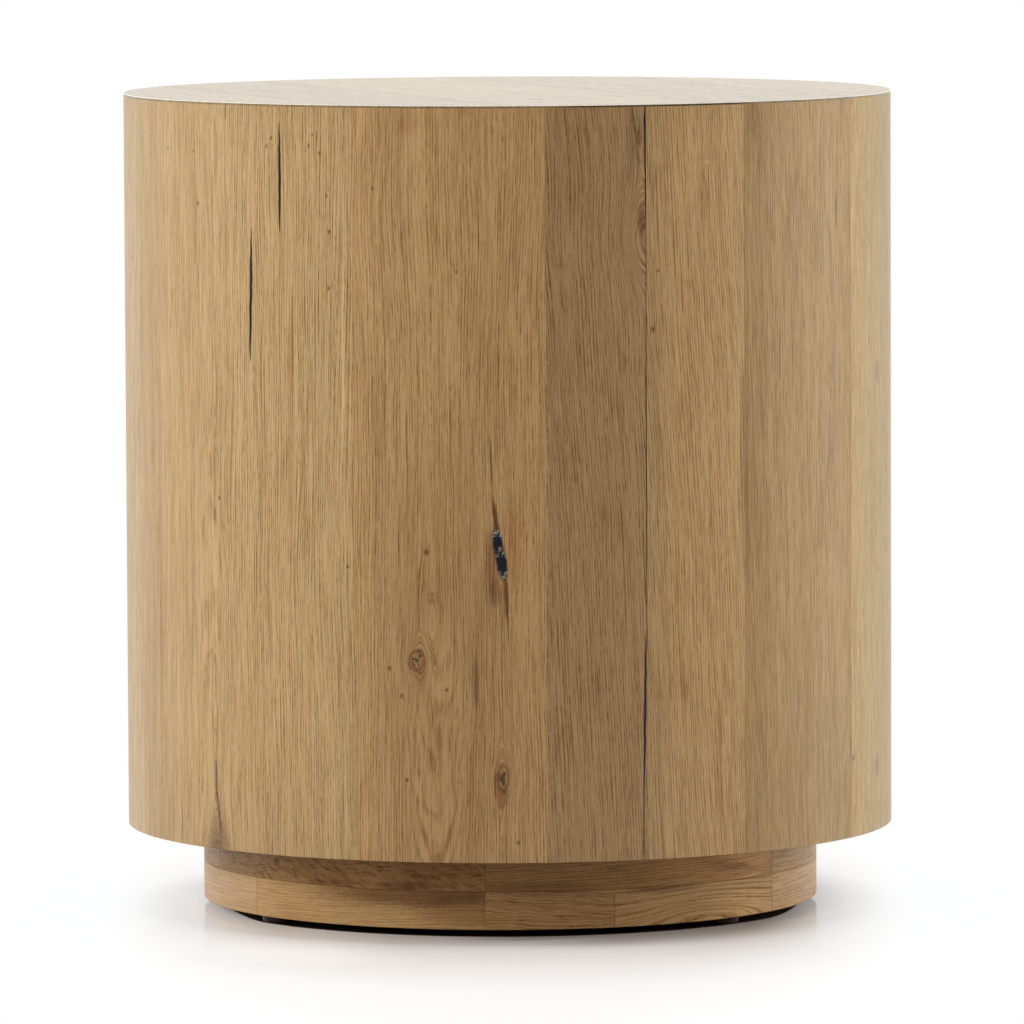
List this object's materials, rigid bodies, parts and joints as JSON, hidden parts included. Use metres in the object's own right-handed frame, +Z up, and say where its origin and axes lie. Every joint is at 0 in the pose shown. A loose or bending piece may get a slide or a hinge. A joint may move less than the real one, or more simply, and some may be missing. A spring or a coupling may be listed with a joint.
{
  "type": "side table",
  "caption": "Round drum side table faced with upright oak leaves, on a recessed round oak plinth with small floor glides.",
  "frame": {"origin": "on the floor, under the centre of the drum", "axes": "+Z up along the drum's axis, -Y towards the side that the picture shows, +X to that side's right"},
  "size_m": [0.575, 0.575, 0.61],
  "materials": {
    "side_oak": "rustic oak with open grain, clear satin lacquer",
    "top_oak": "rustic oak with open grain, clear satin lacquer",
    "plinth_oak": "sawn oak, clear satin lacquer",
    "carcass_plywood": "plain birch plywood",
    "stringer_softwood": "planed softwood",
    "glide_plastic": "smooth moulded plastic",
    "plated_steel": "zinc plated"
  },
  "bodies": {
    "root": {"back_shell": "carcass_plywood", "bottom_panel": "carcass_plywood", "front_shell": "carcass_plywood", "glide_nails": "plated_steel", "glide_pads": "glide_plastic", "lower_plinth_segment_1": "plinth_oak", "lower_plinth_segment_2": "plinth_oak", "lower_plinth_segment_3": "plinth_oak", "lower_plinth_segment_4": "plinth_oak", "lower_plinth_segment_5": "plinth_oak", "lower_plinth_segment_6": "plinth_oak", "lower_plinth_segment_7": "plinth_oak", "lower_plinth_segment_8": "plinth_oak", "middle_former": "carcass_plywood", "plinth_screws": "plated_steel", "side_leaf_1": "side_oak", "side_leaf_10": "side_oak", "side_leaf_11": "side_oak", "side_leaf_12": "side_oak", "side_leaf_13": "side_oak", "side_leaf_14": "side_oak", "side_leaf_15": "side_oak", "side_leaf_2": "side_oak", "side_leaf_3": "side_oak", "side_leaf_4": "side_oak", "side_leaf_5": "side_oak", "side_leaf_6": "side_oak", "side_leaf_7": "side_oak", "side_leaf_8": "side_oak", "side_leaf_9": "side_oak", "stringer_1": "stringer_softwood", "stringer_2": "stringer_softwood", "stringer_3": "stringer_softwood", "stringer_4": "stringer_softwood", "stringer_5": "stringer_softwood", "stringer_6": "stringer_softwood", "top_board": "carcass_plywood", "top_leaf_1": "top_oak", "top_leaf_2": "top_oak", "top_leaf_3": "top_oak", "top_leaf_4": "top_oak", "top_leaf_5": "top_oak", "upper_former": "carcass_plywood", "upper_plinth_segment_1": "plinth_oak", "upper_plinth_segment_2": "plinth_oak", "upper_plinth_segment_3": "plinth_oak", "upper_plinth_segment_4": "plinth_oak", "upper_plinth_segment_5": "plinth_oak", "upper_plinth_segment_6": "plinth_oak"}
  },
  "joints": []
}
